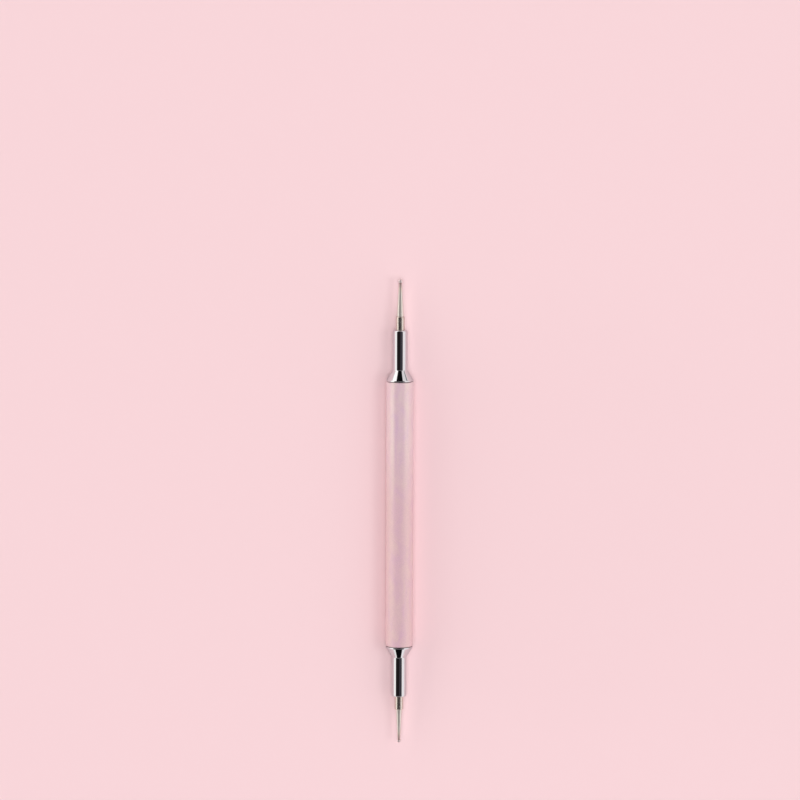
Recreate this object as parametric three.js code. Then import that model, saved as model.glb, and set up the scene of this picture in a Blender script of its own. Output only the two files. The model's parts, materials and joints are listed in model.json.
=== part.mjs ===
// Dotting tool: a pearl acrylic barrel with a chromed ferrule at each end, and in each ferrule a
// tapered needle with a ball tip, one ball larger than the other.
// Millimetres, +Z up. The tool lies on a table along Y with its larger ball towards +Y, and the
// origin is on the table below the middle of its length.
import * as THREE from "three";

// Barrel: a solid rod with a blind seat bored into each end
const BARREL_LENGTH = 57.3;
const BARREL_DIAMETER = 5.8;
const BARREL_WALL = 0.9; // left around a seat
const BARREL_EDGE = 0.16; // rounding of the end edges

// Ferrules: thin shells that flare from a narrow neck out to the barrel
const FERRULE_WALL = 0.32;
const FERRULE_LIP = 0.4; // end wall that the collar comes out through
const RIM_EDGE = 0.08; // rounding of the rim, nearly a full bead
const NECK_EDGE = 0.35; // rounding of the neck's end
const RIM_GAP = 0.12; // shadow line between the barrel and the rim
const RIM_LAND = 0.24; // straight band between the shadow line and the cone
const FLARE_LENGTH = 2.5; // from the barrel to the neck
const FLARE_FILLET = 0.1; // where the cone runs into the neck
const NECK_LENGTH = 8.6;

// Plugs: turned cores that centre the ferrule and the collar on the barrel
const PLUG_WALL = 0.3; // around the collar
const SPIGOT_LENGTH = 9; // bonded into the barrel's seat
const SPIGOT_CHAMFER = 0.3;
const GROOVE_COUNT = 3; // rings round the spigot that hold the adhesive
const GROOVE_WIDTH = 0.6;
const GROOVE_DEPTH = 0.15;

// Collars: sleeves between the ferrule's neck and the needle
const COLLAR_WALL = 0.4;
const COLLAR_REACH = 2.85; // stands out of the ferrule
const COLLAR_DEPTH = 7; // hidden in the ferrule
const COLLAR_EDGE = 0.16;

// Needles: turned pins with a straight tail in the collar and a taper outside it
const TAIL_DIAMETER = 1;
const TAIL_CHAMFER = 0.2;
const LARGE_SHOULDER = 0.26; // ledge by which the taper starts wider than the tail
const SMALL_SHOULDER = 0.18;
const LARGE_TIP_REACH = 8.1; // from the collar to the far side of the ball
const SMALL_TIP_REACH = 7.3;

// Balls: brazed into a cup in the needle's tip
const LARGE_BALL_DIAMETER = 1.05;
const SMALL_BALL_DIAMETER = 0.8;
const CUP_ANGLE = THREE.MathUtils.degToRad(36); // half angle of the cup, seen from the ball's centre

// Clearances
const FIT = 0.02; // film of adhesive or braze between seated pieces
const SEAT_SPARE = 0.3; // room left at the bottom of a blind seat

// Facets of the turned surfaces
const FACETS = 32;
const ROUND_STEPS = 4;
const FACET_PHASE = Math.PI / FACETS; // turns one flat facet of the barrel down to the table

// Radii, from the needle's tail outwards to the neck
const tailRadius = TAIL_DIAMETER / 2;
const collarBore = tailRadius + FIT;
const collarRadius = collarBore + COLLAR_WALL;
const plugBore = collarRadius + FIT;
const noseRadius = plugBore + PLUG_WALL;
const neckBore = noseRadius + FIT;
const neckRadius = neckBore + FERRULE_WALL;

// Radii, from the barrel inwards to the spigot
const barrelRadius = BARREL_DIAMETER / 2;
const seatRadius = barrelRadius - BARREL_WALL;
const spigotRadius = seatRadius - FIT;
const seatDepth = SPIGOT_LENGTH + SEAT_SPARE;

// Places along an end, measured outwards from the barrel's end face
const flangeBase = FIT;
const rimBase = RIM_GAP;
const coneStart = rimBase + RIM_LAND;
const neckEnd = FLARE_LENGTH + NECK_LENGTH;
const collarEnd = neckEnd + COLLAR_REACH;
const collarFoot = neckEnd - COLLAR_DEPTH;
const needleShoulder = collarEnd + FIT;
const tailFoot = collarFoot + SEAT_SPARE;

const pearlAcrylic = new THREE.MeshStandardMaterial({ color: 0xdcb9c2, roughness: 0.3, metalness: 0.1 });
const chrome = new THREE.MeshStandardMaterial({ color: 0xe4e4e6, roughness: 0.06, metalness: 1 });
const nickel = new THREE.MeshStandardMaterial({ color: 0xc9beb2, roughness: 0.15, metalness: 1 });
const steel = new THREE.MeshStandardMaterial({ color: 0xbdb6ae, roughness: 0.2, metalness: 1 });

// A path through corners given as [radius, along], or [radius, along, rounding] for a rounded corner.
// The first and the last corner are not rounded.
function outline(corners) {
  const points = corners.map(([radius, along]) => new THREE.Vector2(radius, along));
  const path = new THREE.Path().moveTo(points[0].x, points[0].y);
  points.slice(1).forEach((corner, i) => {
    const rounding = corners[i + 1][2];
    if (rounding) {
      const next = points[i + 2];
      const enter = corner.clone().add(points[i].clone().sub(corner).setLength(rounding));
      const leave = corner.clone().add(next.clone().sub(corner).setLength(rounding));
      path.lineTo(enter.x, enter.y).quadraticCurveTo(corner.x, corner.y, leave.x, leave.y);
    } else {
      path.lineTo(corner.x, corner.y);
    }
  });
  return path;
}

// The solid that a path sweeps round the tool's axis.
function turned(name, path, material) {
  const geometry = new THREE.LatheGeometry(path.getPoints(ROUND_STEPS), FACETS, FACET_PHASE);
  const mesh = new THREE.Mesh(geometry, material);
  mesh.name = name;
  return mesh;
}

function barrel() {
  const end = BARREL_LENGTH / 2;
  const seatFloor = end - seatDepth;
  const path = outline([
    [0, -seatFloor],
    [seatRadius, -seatFloor],
    [seatRadius, -end],
    [barrelRadius, -end, BARREL_EDGE],
    [barrelRadius, end, BARREL_EDGE],
    [seatRadius, end],
    [seatRadius, seatFloor],
    [0, seatFloor],
  ]);
  return turned("barrel", path, pearlAcrylic);
}

function ferrule(endName) {
  const rimBore = barrelRadius - FERRULE_WALL;
  const collarHole = collarRadius + FIT;
  const path = outline([
    [rimBore, rimBase],
    [barrelRadius, rimBase, RIM_EDGE],
    [barrelRadius, coneStart, RIM_EDGE],
    [neckRadius, FLARE_LENGTH, FLARE_FILLET],
    [neckRadius, neckEnd, NECK_EDGE],
    [collarHole, neckEnd],
    [collarHole, neckEnd - FERRULE_LIP],
    [neckBore, neckEnd - FERRULE_LIP],
    [neckBore, FLARE_LENGTH],
    [rimBore, coneStart],
    [rimBore, rimBase],
  ]);
  return turned(`${endName}_ferrule`, path, chrome);
}

// The plug's spigot goes into the barrel, its cone fills the flare and its nose fills the neck.
function plug(endName) {
  const flangeRadius = barrelRadius - FERRULE_WALL - FIT;
  const groovePitch = SPIGOT_LENGTH / (GROOVE_COUNT + 1);
  const grooves = [];
  for (let i = GROOVE_COUNT; i > 0; i -= 1) {
    const low = -i * groovePitch - GROOVE_WIDTH / 2;
    const high = low + GROOVE_WIDTH;
    grooves.push([spigotRadius, low], [spigotRadius - GROOVE_DEPTH, low]);
    grooves.push([spigotRadius - GROOVE_DEPTH, high], [spigotRadius, high]);
  }
  const noseEnd = neckEnd - FERRULE_LIP - FIT;
  const path = outline([
    [0, -SPIGOT_LENGTH],
    [spigotRadius - SPIGOT_CHAMFER, -SPIGOT_LENGTH],
    [spigotRadius, SPIGOT_CHAMFER - SPIGOT_LENGTH],
    ...grooves,
    [spigotRadius, flangeBase],
    [flangeRadius, flangeBase],
    [flangeRadius, coneStart],
    [noseRadius, FLARE_LENGTH],
    [noseRadius, noseEnd],
    [plugBore, noseEnd],
    [plugBore, collarFoot - FIT],
    [0, collarFoot - FIT],
  ]);
  return turned(`${endName}_plug`, path, steel);
}

function collar(endName) {
  const path = outline([
    [collarBore, collarFoot],
    [collarRadius, collarFoot],
    [collarRadius, collarEnd, COLLAR_EDGE],
    [collarBore, collarEnd],
    [collarBore, collarFoot],
  ]);
  return turned(`${endName}_collar`, path, nickel);
}

// The needle's tip is a cup that follows the ball.
function needle(endName, ballDiameter, tipReach, shoulder) {
  const cupRadius = ballDiameter / 2 + FIT;
  const ballCentre = collarEnd + tipReach - ballDiameter / 2;
  const cupRim = CUP_ANGLE - Math.PI / 2;
  const path = outline([
    [0, tailFoot],
    [tailRadius - TAIL_CHAMFER, tailFoot],
    [tailRadius, tailFoot + TAIL_CHAMFER],
    [tailRadius, needleShoulder],
    [tailRadius + shoulder, needleShoulder],
    [cupRadius * Math.cos(cupRim), ballCentre + cupRadius * Math.sin(cupRim)],
  ]);
  path.absarc(0, ballCentre, cupRadius, cupRim, -Math.PI / 2, true);
  return turned(`${endName}_needle`, path, steel);
}

function ball(endName, ballDiameter, tipReach) {
  const radius = ballDiameter / 2;
  const path = new THREE.Path();
  path.absarc(0, collarEnd + tipReach - radius, radius, -Math.PI / 2, Math.PI / 2, false);
  return turned(`${endName}_ball`, path, steel);
}

// Everything at one end, with Y pointing outwards from the barrel's end face.
function toolEnd(endName, ballDiameter, tipReach, shoulder) {
  return new THREE.Group().add(
    ferrule(endName),
    plug(endName),
    collar(endName),
    needle(endName, ballDiameter, tipReach, shoulder),
    ball(endName, ballDiameter, tipReach),
  );
}

const largeEnd = toolEnd("large_end", LARGE_BALL_DIAMETER, LARGE_TIP_REACH, LARGE_SHOULDER);
largeEnd.position.y = BARREL_LENGTH / 2;

const smallEnd = toolEnd("small_end", SMALL_BALL_DIAMETER, SMALL_TIP_REACH, SMALL_SHOULDER);
smallEnd.position.y = -BARREL_LENGTH / 2;
smallEnd.rotation.z = Math.PI;

// The lowest facet of the barrel lies on the table, and the two ball tips are equally far from the origin.
const lyingTool = new THREE.Group().add(barrel(), largeEnd, smallEnd);
lyingTool.position.set(0, (SMALL_TIP_REACH - LARGE_TIP_REACH) / 2, barrelRadius * Math.cos(FACET_PHASE));

const dottingTool = new THREE.Group().add(lyingTool);

export default dottingTool;
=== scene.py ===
# Fine turned surfaces, finishes, studio light and camera for the dotting tool.
import json
import math
from collections import defaultdict

import bmesh
import bpy
from mathutils import Matrix, Vector


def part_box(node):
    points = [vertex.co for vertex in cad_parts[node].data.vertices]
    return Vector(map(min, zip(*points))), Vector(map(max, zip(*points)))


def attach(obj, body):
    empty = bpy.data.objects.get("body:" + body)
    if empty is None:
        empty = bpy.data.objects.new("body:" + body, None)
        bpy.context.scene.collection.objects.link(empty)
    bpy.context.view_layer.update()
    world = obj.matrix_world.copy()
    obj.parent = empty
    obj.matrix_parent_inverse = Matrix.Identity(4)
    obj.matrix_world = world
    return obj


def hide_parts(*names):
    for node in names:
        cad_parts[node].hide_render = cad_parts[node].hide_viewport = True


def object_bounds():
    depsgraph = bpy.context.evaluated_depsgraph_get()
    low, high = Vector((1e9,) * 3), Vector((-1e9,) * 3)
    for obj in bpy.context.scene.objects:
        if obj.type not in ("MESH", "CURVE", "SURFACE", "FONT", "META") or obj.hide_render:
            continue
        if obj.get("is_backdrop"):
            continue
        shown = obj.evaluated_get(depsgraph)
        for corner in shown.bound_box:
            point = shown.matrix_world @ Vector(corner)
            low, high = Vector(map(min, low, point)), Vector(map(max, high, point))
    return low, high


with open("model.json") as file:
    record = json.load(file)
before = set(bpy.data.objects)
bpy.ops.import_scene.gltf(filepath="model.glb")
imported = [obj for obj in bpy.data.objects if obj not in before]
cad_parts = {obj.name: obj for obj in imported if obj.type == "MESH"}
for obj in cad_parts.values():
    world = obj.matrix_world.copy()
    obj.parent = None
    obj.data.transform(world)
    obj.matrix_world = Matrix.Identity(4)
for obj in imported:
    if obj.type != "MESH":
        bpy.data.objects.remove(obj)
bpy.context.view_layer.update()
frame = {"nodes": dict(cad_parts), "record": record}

MM = 0.001
ENDS = ("large_end", "small_end")

# Fineness of the turned surfaces
TURN_STEPS = 128
BALL_STEPS = 32
CORNER_STEPS = 4
EDGE_RADIUS = 0.03 * MM  # softens a sharp machined edge
SHARP_BEND = math.radians(35)  # a smaller bend is a step of a curve
FLAT_BEND = math.radians(0.5)  # a smaller bend is left as it is
SUPPORT = 0.02 * MM  # from an edge to the point that keeps a long face's shading flat
LONG_STRETCH = 4 * SUPPORT  # a shorter one gets no such points
ON_AXIS = 0.001 * MM
SAME_PLACE = 0.0001 * MM
SEAM_TOLERANCE = math.radians(1)

# Bead of braze between a needle and its ball
BEAD_STEPS = 4
BEAD_ON_BALL = math.radians(14)  # past the cup's rim
BEAD_ON_NEEDLE = 0.1 * MM
BEAD_ROOT = 0.8  # its innermost point, as a share of the rim's radius

# Places where a finish changes, measured along the tool from the origin
PINK_BELOW = 1 * MM  # the barrel is pinkest from here to the smaller ball's end
PALE_ABOVE = 17 * MM  # and palest from here to the larger ball's end
HEAT_START = 47 * MM  # heat tint of both needles
HEAT_END = 49.3 * MM

# Noise mostly stays between these values
NOISE_LOW = 0.3
NOISE_HIGH = 0.7

# Photograph's framing, in its own pixels
PHOTO_SIDE = 800
PHOTO_TOOL_CENTRE = (399.6, 512)
MM_PER_PIXEL = 0.2146

# Camera, with its lens and sensor in millimetres
LENS = 240
SENSOR = 36
CAMERA_TILT = math.radians(7.4)  # leans it from straight above towards the larger ball
CAMERA_ROLL = math.radians(0.19)
CLIP_RATIO = 100  # how many times nearer and farther than the tool the camera sees

# Floor and lamps, in metres
FLOOR_SIDE = 40
FLOOR_COLOUR = 0xF3D3D7
LAMP_DISTANCE = 18

# Light from the surroundings, by direction
PANEL_STRENGTH = 1.2
PANEL_LEVELS = (1.25, 0.95)  # where a direction's x times its y is lowest and highest
PANEL_CORNER = 0.5  # the highest x times y
LEFT_PANEL = 0xFFFBF8
RIGHT_PANEL = 0xE6E0E1
PANEL_GAP = 0x6A6466
CEILING = 0x1E1B1C
CEILING_END = 0x0C0C0E
CEILING_BAR = 0xDCD8D8
CEILING_STRIP = 0x49464D
HORIZON = 0xEAE3E3

# Edges of the panels and the strip, in degrees to the right of straight up
LEFT_EDGE = (-53, -47)
RIGHT_EDGE = (38, 44)
STRIP = (6, 11, 21, 26)
LEAN_SCALE = (0.75, 1.25)  # at the ends of Y, to draw these edges together towards the larger ball

# Edges of the rest, as the parts of a direction along X, Y or Z
STRIP_FADE = (0.25, 0.4)
LOWER_BAR = (-0.68, -0.64, -0.56, -0.52)
UPPER_BAR = (0.34, 0.38, 0.46, 0.5)
GAP_ABOVE = (0.2, 0.4)
GAP_BESIDE = (0.3, 0.5)
GAP_HEIGHT = (0.16, 0.24)
HORIZON_HEIGHT = (0.075, 0.1)

barrel_low, barrel_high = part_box("barrel")
axis_height = (barrel_low.z + barrel_high.z) / 2


# Turned surfaces

def cad_outline(node):
    """A turned node's outline, as (radius, y) points in order along one seam between its facets.

    Also says whether the outline is closed, as that of a piece with a hole through it is.
    """
    mesh = frame["nodes"][node].data
    turns = {}
    for vertex in mesh.vertices:
        across, up = vertex.co.x, vertex.co.z - axis_height
        turns[vertex.index] = (math.hypot(across, up), vertex.co.y, math.atan2(across, up))
    seam = min(turn for radius, _, turn in turns.values() if radius > ON_AXIS and turn > 0)
    places = {}
    for index, (radius, y, turn) in turns.items():
        if radius < ON_AXIS:
            places[index] = (0.0, y)
        elif abs(turn - seam) < SEAM_TOLERANCE:
            places[index] = (radius, y)
    links = defaultdict(list)
    for edge in mesh.edges:
        a, b = (places.get(index) for index in edge.vertices)
        if a and b and a != b:
            links[a].append(b)
            links[b].append(a)
    on_axis = [place for place in links if place[0] == 0.0]
    here = on_axis[0] if on_axis else next(iter(links))
    path = [here]
    while here:
        here = next((place for place in links[here] if place not in path), None)
        if here:
            path.append(here)
    return [Vector(place) for place in path], not on_axis


def curve(start, corner, end, steps):
    """Points on the curve that leaves start towards the corner and comes to end from it."""
    shares = [step / steps for step in range(steps + 1)]
    return [start.lerp(corner, share).lerp(corner.lerp(end, share), share) for share in shares]


def rounded(outline, closed):
    """The outline with each sharp corner softened and each step of a curve smoothed."""
    points = []
    for i, corner in enumerate(outline):
        before = outline[i - 1] - corner
        after = outline[(i + 1) % len(outline)] - corner
        bend = math.pi - before.angle(after)
        if (not closed and i in (0, len(outline) - 1)) or bend < FLAT_BEND:
            points.append(corner)
            continue
        reach = min(before.length, after.length) / 2
        if bend > SHARP_BEND:
            reach = min(reach, EDGE_RADIUS)
        enter = corner + before.normalized() * reach
        leave = corner + after.normalized() * reach
        points += curve(enter, corner, leave, CORNER_STEPS)
    behind = points[-1:] + points[:-1]
    return [here for here, before in zip(points, behind) if (here - before).length > SAME_PLACE]


def supported(outline, closed):
    """The outline with a point added close to both ends of each long stretch."""
    points = []
    ahead = outline[1:] + outline[:1]
    for here, there in zip(outline, ahead):
        points.append(here)
        stretch = there - here
        if stretch.length > LONG_STRETCH and (closed or there is not outline[0]):
            step = stretch.normalized() * SUPPORT
            points += [here + step, there - step]
    return points


def turned_piece(name, outline, closed, material):
    """A closed mesh swept round the tool's axis. A point on the axis becomes a single vertex."""
    vertices = []
    rings = []
    for radius, y in outline:
        first = len(vertices)
        if radius < ON_AXIS:
            vertices.append((0, y, axis_height))
            rings.append([first] * TURN_STEPS)
            continue
        for step in range(TURN_STEPS):
            turn = math.tau * step / TURN_STEPS
            vertices.append((radius * math.sin(turn), y, axis_height + radius * math.cos(turn)))
        rings.append(list(range(first, first + TURN_STEPS)))
    faces = []
    ahead = rings[1:] + (rings[:1] if closed else [])
    for ring, above in zip(rings, ahead):
        for i in range(TURN_STEPS):
            j = (i + 1) % TURN_STEPS
            corners = dict.fromkeys((ring[i], ring[j], above[j], above[i]))
            if len(corners) > 2:
                faces.append(tuple(corners))
    mesh = bpy.data.meshes.new(name)
    mesh.from_pydata(vertices, [], faces)
    shell = bmesh.new()
    shell.from_mesh(mesh)
    bmesh.ops.recalc_face_normals(shell, faces=shell.faces)
    shell.to_mesh(mesh)
    shell.free()
    mesh.shade_smooth()
    mesh.materials.append(material)
    piece = bpy.data.objects.new(name, mesh)
    bpy.context.scene.collection.objects.link(piece)
    return piece


def ball_place(end):
    """The place along Y of a ball's centre, its radius, and the way along Y that it faces."""
    low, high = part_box(f"{end}_ball")
    centre = (low.y + high.y) / 2
    return centre, (high.y - low.y) / 2, math.copysign(1, centre)


def ball_outline(end):
    """A half circle from one pole of a ball to the other."""
    centre, radius, _ = ball_place(end)
    turns = [math.pi * step / BALL_STEPS for step in range(BALL_STEPS + 1)]
    return [Vector((radius * math.sin(turn), centre - radius * math.cos(turn))) for turn in turns]


def bead_outline(end):
    """A hollow-sided ring that fills the corner between a needle's cup and its ball."""
    centre, ball_radius, way = ball_place(end)
    needle, _ = cad_outline(f"{end}_needle")
    rim = max(needle, key=lambda point: (point.y * way, point.x))
    below = max((point for point in needle if point.x > rim.x), key=lambda point: point.y * way)
    foot = rim + (below - rim).normalized() * BEAD_ON_NEEDLE
    angle = math.asin(rim.x / ball_radius) + BEAD_ON_BALL
    head = Vector((ball_radius * math.sin(angle), centre - way * ball_radius * math.cos(angle)))
    root = Vector((rim.x * BEAD_ROOT, rim.y))
    return [*curve(foot, rim, head, BEAD_STEPS), root]


# Shader nodes

def srgb(code):
    """A colour written as 0xRRGGBB, in linear light."""
    channels = ((code >> shift & 255) / 255 for shift in (16, 8, 0))
    linear = [c / 12.92 if c <= 0.04045 else ((c + 0.055) / 1.055) ** 2.4 for c in channels]
    return (*linear, 1.0)


def add(tree, kind, inputs=None, **settings):
    """A new shader node. Its inputs are given by name or number, as values or as sockets to link."""
    made = tree.nodes.new(kind)
    for name, value in settings.items():
        setattr(made, name, value)
    for name, value in (inputs or {}).items():
        if isinstance(value, bpy.types.NodeSocket):
            tree.links.new(value, made.inputs[name])
        else:
            made.inputs[name].default_value = value
    return made


def maths(tree, operation, first, second=0.0):
    """The result of one operation on numbers."""
    return add(tree, "ShaderNodeMath", {0: first, 1: second}, operation=operation).outputs[0]


def spread(tree, factor, low, high, start=0, stop=1):
    """A factor that runs from start to stop turned into a value from low to high."""
    inputs = {"Value": factor, "From Min": start, "From Max": stop, "To Min": low, "To Max": high}
    return add(tree, "ShaderNodeMapRange", inputs).outputs["Result"]


def ramp(tree, factor, stops):
    """A colour ramp through stops, each a position and a colour code."""
    made = add(tree, "ShaderNodeValToRGB", {"Fac": factor})
    elements = made.color_ramp.elements
    while len(elements) < len(stops):
        elements.new(1)
    for element, (position, code) in zip(elements, stops):
        element.position = position
        element.color = srgb(code)
    return made.outputs["Color"]


def mix(tree, factor, first, second):
    """The first colour where the factor is 0 and the second where it is 1, as sockets or colour codes."""
    made = add(tree, "ShaderNodeMix", data_type="RGBA")
    inputs = {socket.identifier: socket for socket in made.inputs}
    tree.links.new(factor, inputs["Factor_Float"])
    for name, colour in (("A_Color", first), ("B_Color", second)):
        if isinstance(colour, bpy.types.NodeSocket):
            tree.links.new(colour, inputs[name])
        else:
            inputs[name].default_value = srgb(colour)
    return next(socket for socket in made.outputs if socket.identifier == "Result_Color")


def scaled(tree, colour, factor):
    """A colour made brighter or darker by a factor."""
    made = add(tree, "ShaderNodeVectorMath", {0: colour, 1: factor}, operation="MULTIPLY")
    return made.outputs["Vector"]


def place_on(tree):
    """The place on the object, which patterns are laid out by."""
    return add(tree, "ShaderNodeTexCoord").outputs["Object"]


def along(tree):
    """The place along the tool, positive towards the larger ball."""
    return add(tree, "ShaderNodeSeparateXYZ", {"Vector": place_on(tree)}).outputs["Y"]


def noise(tree, per_metre, stretch=(1, 1, 1), detail=2, distortion=0):
    """Noise in features of about one over per_metre, drawn out along the axes where stretch is below 1."""
    mapped = add(tree, "ShaderNodeMapping", {"Vector": place_on(tree), "Scale": stretch})
    inputs = {
        "Vector": mapped.outputs["Vector"],
        "Scale": per_metre,
        "Detail": detail,
        "Distortion": distortion,
    }
    return add(tree, "ShaderNodeTexNoise", inputs).outputs["Fac"]


def shades(tree, factor, *codes):
    """Evenly spaced colours, from the first where noise is low to the last where it is high."""
    step = (NOISE_HIGH - NOISE_LOW) / (len(codes) - 1)
    return ramp(tree, factor, [(NOISE_LOW + i * step, code) for i, code in enumerate(codes)])


def relief(tree, height, depth):
    """The normal of a surface that is raised by up to depth where the height is 1."""
    return add(tree, "ShaderNodeBump", {"Height": height, "Distance": depth}).outputs["Normal"]


# Finishes

def finish(name, **constants):
    """A material, its nodes and its Principled shader, with plain values set on the shader's inputs.

    An input's name has _ for each space, here and in feed().
    """
    material = bpy.data.materials.new(name)
    material.use_nodes = True
    tree = material.node_tree
    shader = tree.nodes["Principled BSDF"]
    for socket, value in constants.items():
        shader.inputs[socket.replace("_", " ")].default_value = value
    return material, tree, shader


def feed(tree, shader, **sockets):
    """Links what varies over the surface to the shader's inputs."""
    for name, socket in sockets.items():
        tree.links.new(socket, shader.inputs[name.replace("_", " ")])


def pearl_acrylic():
    """Cast acrylic with swirls of pearl flakes under a polished surface, palest towards the larger ball."""
    material, tree, shader = finish(
        "pearl_acrylic",
        IOR=2.5,
        Specular_Tint=srgb(0xEAF2C4),
        Coat_Roughness=0.06,
    )
    pinker = spread(tree, along(tree), 1, 0, start=PINK_BELOW, stop=PALE_ABOVE)
    swirl = noise(tree, per_metre=420, stretch=(1, 0.4, 1), detail=3, distortion=1.5)
    pale = shades(tree, swirl, 0xD9B6CA, 0xDCBBC7, 0xDEC1C7)
    pink = shades(tree, swirl, 0xD7ADC0, 0xDAB3BD, 0xDCB8BD)
    flakes = add(tree, "ShaderNodeTexVoronoi", {"Vector": place_on(tree), "Scale": 9000})
    tilt = add(tree, "ShaderNodeSeparateColor", {"Color": flakes.outputs["Color"]}).outputs["Red"]
    glint = spread(tree, tilt, 0.94, 1.06)
    polish = spread(tree, noise(tree, per_metre=900), 0.28, 0.36)
    dulling = spread(tree, pinker, 0, 0.16)
    feed(
        tree,
        shader,
        Base_Color=scaled(tree, mix(tree, pinker, pale, pink), glint),
        Roughness=maths(tree, "ADD", polish, dulling),
        Coat_Weight=spread(tree, pinker, 0.6, 0.15),
        Normal=relief(tree, noise(tree, per_metre=700), depth=0.004 * MM),
    )
    return material


def chrome():
    """Bright plate with the faint haze that polishing leaves, darker where it is seen edge on."""
    material, tree, shader = finish("chrome", Metallic=1, Specular_Tint=srgb(0xDCD8DA))
    haze = noise(tree, per_metre=2500, stretch=(1, 4, 1), detail=4)
    feed(
        tree,
        shader,
        Base_Color=shades(tree, haze, 0xD9DADC, 0xDDDEE0),
        Roughness=spread(tree, haze, 0.02, 0.07),
        Normal=relief(tree, haze, depth=0.0002 * MM),
    )
    return material


def nickel():
    """Warm plate over fine turning marks."""
    material, tree, shader = finish("nickel", Metallic=0.95, Specular_Tint=srgb(0xC0B4AC))
    marks = noise(tree, per_metre=3000, stretch=(0.2, 4, 0.2), detail=3)
    feed(
        tree,
        shader,
        Base_Color=shades(tree, marks, 0xD3C9BD, 0xE1D9D1),
        Roughness=spread(tree, marks, 0.2, 0.25),
        Normal=relief(tree, marks, depth=0.002 * MM),
    )
    return material


def steel():
    """Satin steel with lines drawn along the needle, tinted by heat beside the ball."""
    material, tree, shader = finish("steel", Metallic=0.75, Specular_Tint=srgb(0xC0B8B4))
    from_origin = maths(tree, "ABSOLUTE", along(tree))
    heat = spread(tree, from_origin, 0, 1, start=HEAT_START, stop=HEAT_END)
    lines = noise(tree, per_metre=9000, stretch=(1, 0.05, 1))
    feed(
        tree,
        shader,
        Base_Color=ramp(tree, heat, [(0, 0xE5DFD6), (0.5, 0xE1D6C9), (1, 0xC3ABA7)]),
        Roughness=spread(tree, lines, 0.28, 0.36),
        Normal=relief(tree, lines, depth=0.0015 * MM),
    )
    return material


def ball_steel():
    """Polished bearing steel, lightly worn, with both shades tinted pink as a painted reflection of the
    pink floor.
    """
    material, tree, shader = finish("ball_steel", Metallic=0.8)
    wear = noise(tree, per_metre=6000, detail=3)
    feed(
        tree,
        shader,
        # both shades are tinted pink: a painted reflection of the pink floor
        Base_Color=shades(tree, wear, 0xE0D0CE, 0xEEE0E0),
        Roughness=spread(tree, wear, 0.3, 0.45),
        Normal=relief(tree, wear, depth=0.001 * MM),
    )
    return material


def braze():
    """Silver braze, dull, coloured a darker brownish grey than the steel around it."""
    material, tree, shader = finish("braze", Metallic=1)
    ripples = noise(tree, per_metre=15000)
    feed(
        tree,
        shader,
        Base_Color=shades(tree, ripples, 0xAF948B, 0xCBB2AB),
        Roughness=spread(tree, ripples, 0.3, 0.45),
        Normal=relief(tree, ripples, depth=0.003 * MM),
    )
    return material


def turned_steel():
    """Steel left as it was cut, for what is hidden inside."""
    material, tree, shader = finish("turned_steel", Metallic=1)
    marks = noise(tree, per_metre=3000, stretch=(0.2, 4, 0.2), detail=3)
    feed(
        tree,
        shader,
        Base_Color=shades(tree, marks, 0x9C9591, 0xB4AFAB),
        Roughness=spread(tree, marks, 0.3, 0.5),
        Normal=relief(tree, marks, depth=0.003 * MM),
    )
    return material


# The tool

def dress():
    """Every solid's fine surface, and the braze between the needles and their balls."""
    finishes = {
        "barrel": pearl_acrylic(),
        "ferrule": chrome(),
        "plug": turned_steel(),
        "collar": nickel(),
        "needle": steel(),
        "ball": ball_steel(),
        "bead": braze(),
    }
    for subpart in frame["record"]["subparts"]:
        node = subpart["node"]
        kind = node.split("_")[-1]
        if kind == "ball":
            outline, closed = ball_outline(node.removesuffix("_ball")), False
        else:
            outline, closed = cad_outline(node)
            outline = supported(rounded(outline, closed), closed)
        piece = turned_piece(f"{node}_fine", outline, closed, finishes[kind])
        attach(piece, "root")
        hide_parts(node)
        subpart["material_slot"]
    for end in ENDS:
        bead = turned_piece(f"{end}_braze_bead", bead_outline(end), True, finishes["bead"])
        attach(bead, "root")


# The studio

def floor():
    """A matt floor under the tool."""
    bpy.ops.mesh.primitive_plane_add(size=FLOOR_SIDE, location=(0, 0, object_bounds()[0].z))
    plane = bpy.context.object
    plane.name = "floor"
    material, _, _ = finish("floor", Base_Color=srgb(FLOOR_COLOUR), Roughness=0.9, Specular_IOR_Level=0)
    plane.data.materials.append(material)
    plane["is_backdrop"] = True


def lamp(name, azimuth, elevation, side, level):
    """A square softbox aimed at the tool, its azimuth in degrees from +Y towards +X.

    It gives a white surface that faces it the radiance level, where 1 is full white. That takes
    level * (pi * distance) ** 2 watts.
    """
    data = bpy.data.lights.new(name, "AREA")
    data.shape = "SQUARE"
    data.size = side
    data.energy = level * (math.pi * LAMP_DISTANCE) ** 2
    made = bpy.data.objects.new(name, data)
    bpy.context.scene.collection.objects.link(made)
    turn, rise = math.radians(azimuth), math.radians(elevation)
    way = Vector((math.sin(turn) * math.cos(rise), math.cos(turn) * math.cos(rise), math.sin(rise)))
    made.location = way * LAMP_DISTANCE
    made.rotation_euler = way.to_track_quat("Z", "Y").to_euler()
    made.visible_glossy = False
    made.visible_camera = False


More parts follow.
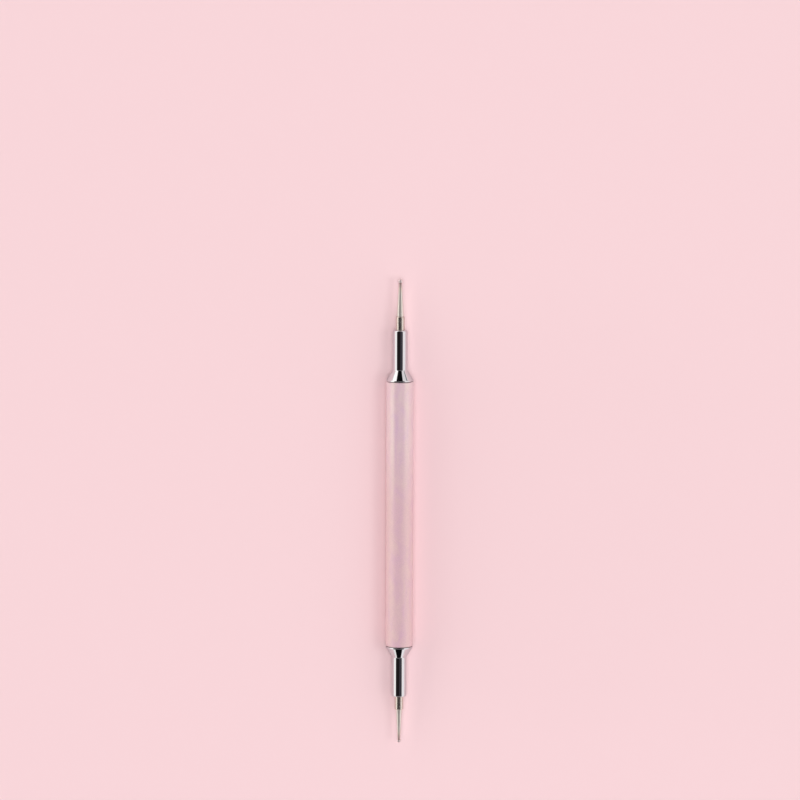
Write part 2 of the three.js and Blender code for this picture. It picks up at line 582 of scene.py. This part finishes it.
def surroundings():
    """Bright panels along both sides of the tool, a dark ceiling between them and a pale horizon.

    A faint strip runs along the ceiling and two bars cross it. The panels are brighter towards the
    upper left and the lower right of the photograph. At the upper right a dim gap parts them from
    the horizon.
    """
    world = bpy.data.worlds.new("studio")
    bpy.context.scene.world = world
    world.use_nodes = True
    tree = world.node_tree
    way = add(tree, "ShaderNodeTexCoord").outputs["Generated"]
    x, y, z = add(tree, "ShaderNodeSeparateXYZ", {"Vector": way}).outputs
    lean_scale = spread(tree, y, *LEAN_SCALE, start=-1)
    lean = maths(tree, "MULTIPLY", maths(tree, "ARCTAN2", x, z), lean_scale)
    lean = maths(tree, "DEGREES", lean)

    bars = [
        (LOWER_BAR, (CEILING_END, CEILING_BAR, CEILING_BAR, CEILING)),
        (UPPER_BAR, (CEILING, CEILING_BAR, CEILING_BAR, CEILING_END)),
    ]
    # A ramp runs from 0 to 1 where a direction's y runs from -1 to 1
    stops = [((edge + 1) / 2, code) for bar in bars for edge, code in zip(*bar)]
    crossed = ramp(tree, spread(tree, y, 0, 1, start=-1), stops)
    into_strip = spread(tree, lean, 0, 1, *STRIP[:2])
    out_of_strip = spread(tree, lean, 1, 0, *STRIP[2:])
    middle = spread(tree, maths(tree, "ABSOLUTE", y), 1, 0, *STRIP_FADE)
    strip = maths(tree, "MULTIPLY", maths(tree, "MULTIPLY", into_strip, out_of_strip), middle)
    ceiling = mix(tree, strip, crossed, CEILING_STRIP)

    sides = mix(tree, spread(tree, lean, 0, 1, *RIGHT_EDGE), ceiling, RIGHT_PANEL)
    sides = mix(tree, spread(tree, lean, 1, 0, *LEFT_EDGE), sides, LEFT_PANEL)
    corner = maths(tree, "MULTIPLY", x, y)
    level = spread(tree, corner, *PANEL_LEVELS, start=-PANEL_CORNER, stop=PANEL_CORNER)
    panels = scaled(tree, sides, level)

    above = spread(tree, y, 0, 1, *GAP_ABOVE)
    beside = spread(tree, x, 0, 1, *GAP_BESIDE)
    near_horizon = spread(tree, z, 1, 0, *GAP_HEIGHT)
    gap = maths(tree, "MULTIPLY", maths(tree, "MULTIPLY", above, beside), near_horizon)
    colour = mix(tree, gap, panels, PANEL_GAP)
    colour = mix(tree, spread(tree, z, 1, 0, *HORIZON_HEIGHT), colour, HORIZON)
    background = tree.nodes["Background"]
    background.inputs["Strength"].default_value = PANEL_STRENGTH
    tree.links.new(colour, background.inputs["Color"])


def camera():
    """The photograph's view: nearly straight down, with the larger ball towards the top."""
    data = bpy.data.cameras.new("camera")
    data.lens = LENS
    data.sensor_width = SENSOR
    made = bpy.data.objects.new("camera", data)
    bpy.context.scene.collection.objects.link(made)
    back = Vector((0, math.sin(CAMERA_TILT), math.cos(CAMERA_TILT)))
    right = Vector((1, 0, 0))
    up = back.cross(right)
    view = Matrix((right, up, back)).transposed() @ Matrix.Rotation(CAMERA_ROLL, 3, "Z")
    scale = MM_PER_PIXEL * MM
    distance = PHOTO_SIDE * scale * LENS / SENSOR
    shift_right = (PHOTO_SIDE / 2 - PHOTO_TOOL_CENTRE[0]) * scale
    shift_up = (PHOTO_TOOL_CENTRE[1] - PHOTO_SIDE / 2) * scale
    low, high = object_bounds()
    aim = (low + high) / 2 + view @ Vector((shift_right, shift_up, 0))
    made.matrix_world = Matrix.Translation(aim + back * distance) @ view.to_4x4()
    data.clip_start = distance / CLIP_RATIO
    data.clip_end = distance * CLIP_RATIO
    bpy.context.scene.camera = made


dress()
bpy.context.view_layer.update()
floor()
lamp("key", azimuth=95, elevation=57, side=6.6, level=0.24)
lamp("left", azimuth=270, elevation=3, side=1.8, level=0.2)
lamp("fill", azimuth=0, elevation=90, side=9, level=0.465)
surroundings()
camera()
bpy.context.scene.view_settings.view_transform = "Standard"
